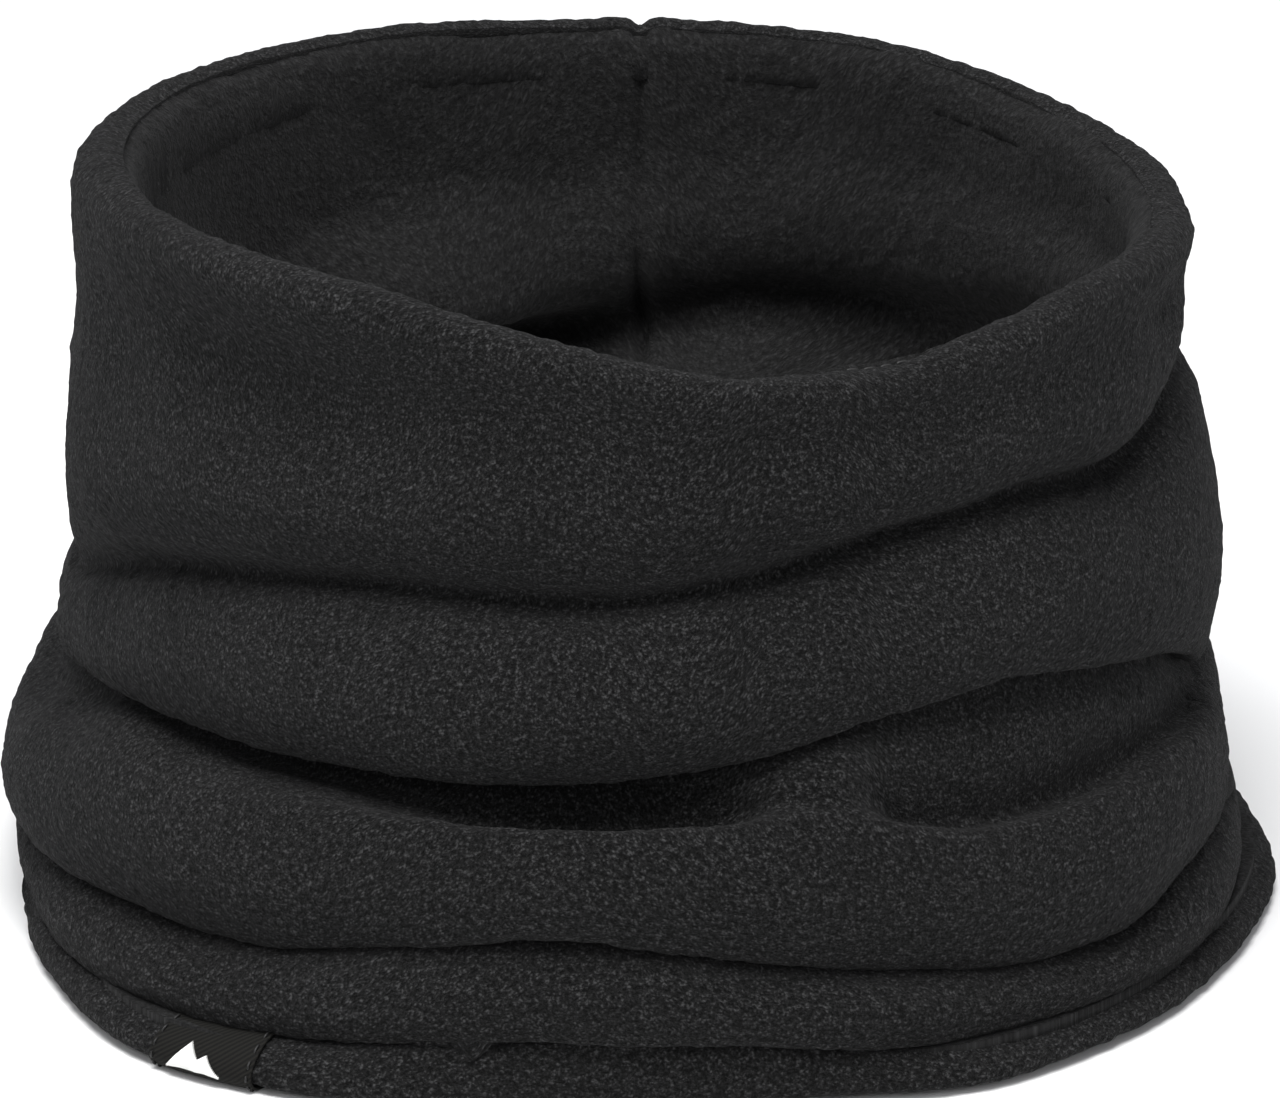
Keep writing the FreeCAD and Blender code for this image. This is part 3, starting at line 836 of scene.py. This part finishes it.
def on_label(u, v, lift):
    """Points on the label's face: u from -1 to 1 across it, v from 0 to 1 up it."""
    i = (np.asarray(u) + 1) / 2 * (len(across) - 1)
    j = np.asarray(v) * (len(along) - 1)
    rows = np.clip(i.astype(int), 0, len(across) - 2)
    steps = np.clip(j.astype(int), 0, len(along) - 2)
    a, b = (i - rows)[:, None], (j - steps)[:, None]

    def between(grid):
        return ((grid[rows, steps] * (1 - a) + grid[rows + 1, steps] * a) * (1 - b)
                + (grid[rows, steps + 1] * (1 - a) + grid[rows + 1, steps + 1] * a) * b)
    return between(label_face) + between(label_out) * lift * MM


# The two-peak motif: its outline over its foot, in the label's own coordinates.
RIDGE = [(-0.62, 0.0), (-0.26, 0.19), (-0.02, 0.095), (0.12, 0.135), (0.42, 0.0)]
MOTIF_FOOT = 0.43
COLUMN_FIRST, COLUMN_STEP = 0.012, 0.023
COLUMN_RISE = 0.30          # mm, how far its thread stands off the label
columns = []
for u in np.arange(RIDGE[0][0] + COLUMN_FIRST, RIDGE[-1][0], COLUMN_STEP):
    top = np.interp(u, *np.transpose(RIDGE))
    t = np.linspace(-1, 1, 9)
    v = MOTIF_FOOT + top * (t + 1) / 2
    lift = COLUMN_RISE * (1 - t ** 6)
    low, high = on_label(0 * t + u, v, 0), on_label(0 * t + u, v, 1)
    columns.append(low + (high - low) * lift[:, None])
motif_obj = threads("label_motif", columns, 0.15 * MM, MOTIF_THREAD, sides=6)

SIDE_AT = 0.93              # how far out on the label's half-width its stitches run
SIDE_FIRST, SIDE_LAST, SIDE_PITCH, SIDE_STITCH = 0.275, 0.95, 0.085, 0.055
side_stitches = []
for side in (-SIDE_AT, SIDE_AT):
    for foot in np.arange(SIDE_FIRST, SIDE_LAST, SIDE_PITCH):
        v = np.linspace(foot, foot + SIDE_STITCH, 6)
        lift = 0.22 - 0.4 * np.linspace(-1, 1, 6) ** 4
        base, top = on_label(0 * v + side, v, 0), on_label(0 * v + side, v, 1)
        side_stitches.append(base + (top - base) * lift[:, None])
label_sewn = threads("label_stitches", side_stitches, 0.2 * MM, BLACK_THREAD, sides=6)

# The care label: a ribbon folded once, hanging from the lining at the back. In mm.
CARE_WIDE, CARE_DROP, CARE_TOP = 16.0, 21.0, 29.0
CARE_HALF_FOLD, CARE_OFF = 0.55, 1.0    # between its middle and each leaf, and off the lining
CARE_BOW, CARE_WAVE = 1.6, 0.25
CARE_HALF_THICK = 0.08
span = np.linspace(-CARE_WIDE / 2, CARE_WIDE / 2, 25)
fold = np.linspace(0, 1, 61)
hang = np.abs(fold * 2 - 1)                       # 1 at both upper ends, 0 at the folded end
rounding = np.clip(1 - (1 - np.clip(hang * 12, 0, 1)) ** 2, 0, 1)
side = np.sign(fold - 0.5) * CARE_HALF_FOLD * np.sqrt(rounding)
x, h = np.meshgrid(span, hang, indexing="ij")
bow = CARE_BOW * (1 - h) ** 2 + CARE_WAVE * np.sin(x * 0.5 + 2.0 * h)
wall_step = int(np.argmin(np.abs(lining[BACK, :60, 1] - CARE_TOP)))
care_radius = lining[BACK, wall_step, 0] - CARE_OFF
care_mid = np.stack([x, care_radius - bow + side[None, :] + 0 * x,
                     CARE_TOP - CARE_DROP + CARE_DROP * h], axis=-1) * MM
care_out = np.zeros_like(care_mid)
care_out[..., 1] = np.where(side >= 0, 1.0, -1.0)[None, :]
care_half = care_out * CARE_HALF_THICK * MM
care_obj = patch("care_label", care_mid - care_half, care_mid + care_half, CARE_SATIN)
TACKS, TACK_SPAN, TACK_HALF = 5, 6.4, 0.9
TACK_OFF, TACK_DIP, TACK_DOWN = 0.30, 0.5, 1.0
tacks = []
for x0 in np.linspace(-TACK_SPAN, TACK_SPAN, TACKS):
    run = np.linspace(-TACK_HALF, TACK_HALF, 6)
    front = care_radius - CARE_HALF_FOLD - TACK_OFF - CARE_WAVE * np.sin(x0 * 0.5 + 2.0)
    tacks.append(np.stack([x0 + run, front + TACK_DIP * (run / TACK_HALF) ** 4,
                           0 * run + CARE_TOP - TACK_DOWN], axis=1) * MM)
care_sewn = threads("care_label_stitches", tacks, 0.2 * MM, BLACK_THREAD, sides=6)

# ------------------------------------------------------------------ joining it to the frame

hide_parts("base_outer_fleece", "collar_outer_fleece")
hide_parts("base_lining_fleece", "collar_lining_fleece")
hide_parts("base_outer_back_seam", "collar_outer_back_seam")
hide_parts("base_lining_back_seam", "collar_lining_back_seam")
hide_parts("rim_seam_thread")
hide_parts("hem_seam_thread")
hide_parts("woven_label")
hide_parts("label_motif")
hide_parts("label_stitches")
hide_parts("care_label")
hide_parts("care_label_stitches")

# The cloth, its back and rim seams and the care label keep their shapes where they stand; the hem
# seam and the woven label go with the base.
for piece in (outer_obj, lining_obj, outer_seam, lining_seam, rim_seam, care_obj, care_sewn):
    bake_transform(piece)
for piece in (hem_seam, label_obj, motif_obj, label_sewn):
    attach(piece, "base")

# ------------------------------------------------------------------ stage and camera

FLOOR = 3                   # metres from the middle to each side
floor_mesh = bpy.data.meshes.new("floor")
floor_mesh.from_pydata([(-FLOOR, -FLOOR, 0), (FLOOR, -FLOOR, 0), (FLOOR, FLOOR, 0),
                        (-FLOOR, FLOOR, 0)], [], [(0, 1, 2, 3)])
floor = bpy.data.objects.new("floor", floor_mesh)
bpy.context.collection.objects.link(floor)
floor_paper, _, _ = new_material("floor_paper", (0.90, 0.90, 0.90), 0.9)
floor_mesh.materials.append(floor_paper)
floor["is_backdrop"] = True

bpy.context.scene.view_settings.view_transform = "Standard"
world = bpy.data.worlds.new("studio")
bpy.context.scene.world = world
world.use_nodes = True
backdrop = world.node_tree.nodes["Background"]
backdrop.inputs["Color"].default_value = (0.95, 0.96, 1.0, 1)
backdrop.inputs["Strength"].default_value = 0.40


def softbox(name, place, aim, size, power):
    """A studio light, in metres and watts."""
    light = bpy.data.lights.new(name, "AREA")
    light.shape = "RECTANGLE"
    light.size, light.size_y = size
    light.energy = power
    obj = bpy.data.objects.new(name, light)
    obj.location = place
    obj.rotation_euler = (Vector(aim) - Vector(place)).to_track_quat("-Z", "Y").to_euler()
    bpy.context.collection.objects.link(obj)


softbox("top_light", (-0.1, -0.35, 1.1), (0, 0, 0.05), (0.8, 0.6), 20)
softbox("left_light", (-0.6, -1.1, 0.7), (0, 0, 0.06), (0.5, 0.6), 2.6)
softbox("right_light", (0.8, -0.9, 0.5), (0, 0, 0.06), (0.5, 0.6), 2.0)

camera_data = bpy.data.cameras.new("camera")
camera = bpy.data.objects.new("camera", camera_data)
bpy.context.collection.objects.link(camera)
bpy.context.scene.camera = camera
AIM = Vector((0.0, 0.0, 0.0535))
DISTANCE, PICTURE_WIDTH = 2.4, 0.2      # metres: how far off, and how much fits across
SENSOR = 36
ELEVATION = math.radians(21)
camera.location = AIM + DISTANCE * Vector((0, -math.cos(ELEVATION), math.sin(ELEVATION)))
camera.rotation_euler = (AIM - camera.location).to_track_quat("-Z", "Y").to_euler()
camera_data.sensor_width = SENSOR
camera_data.lens = SENSOR * DISTANCE / PICTURE_WIDTH
camera_data.clip_end = 20

low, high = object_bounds()
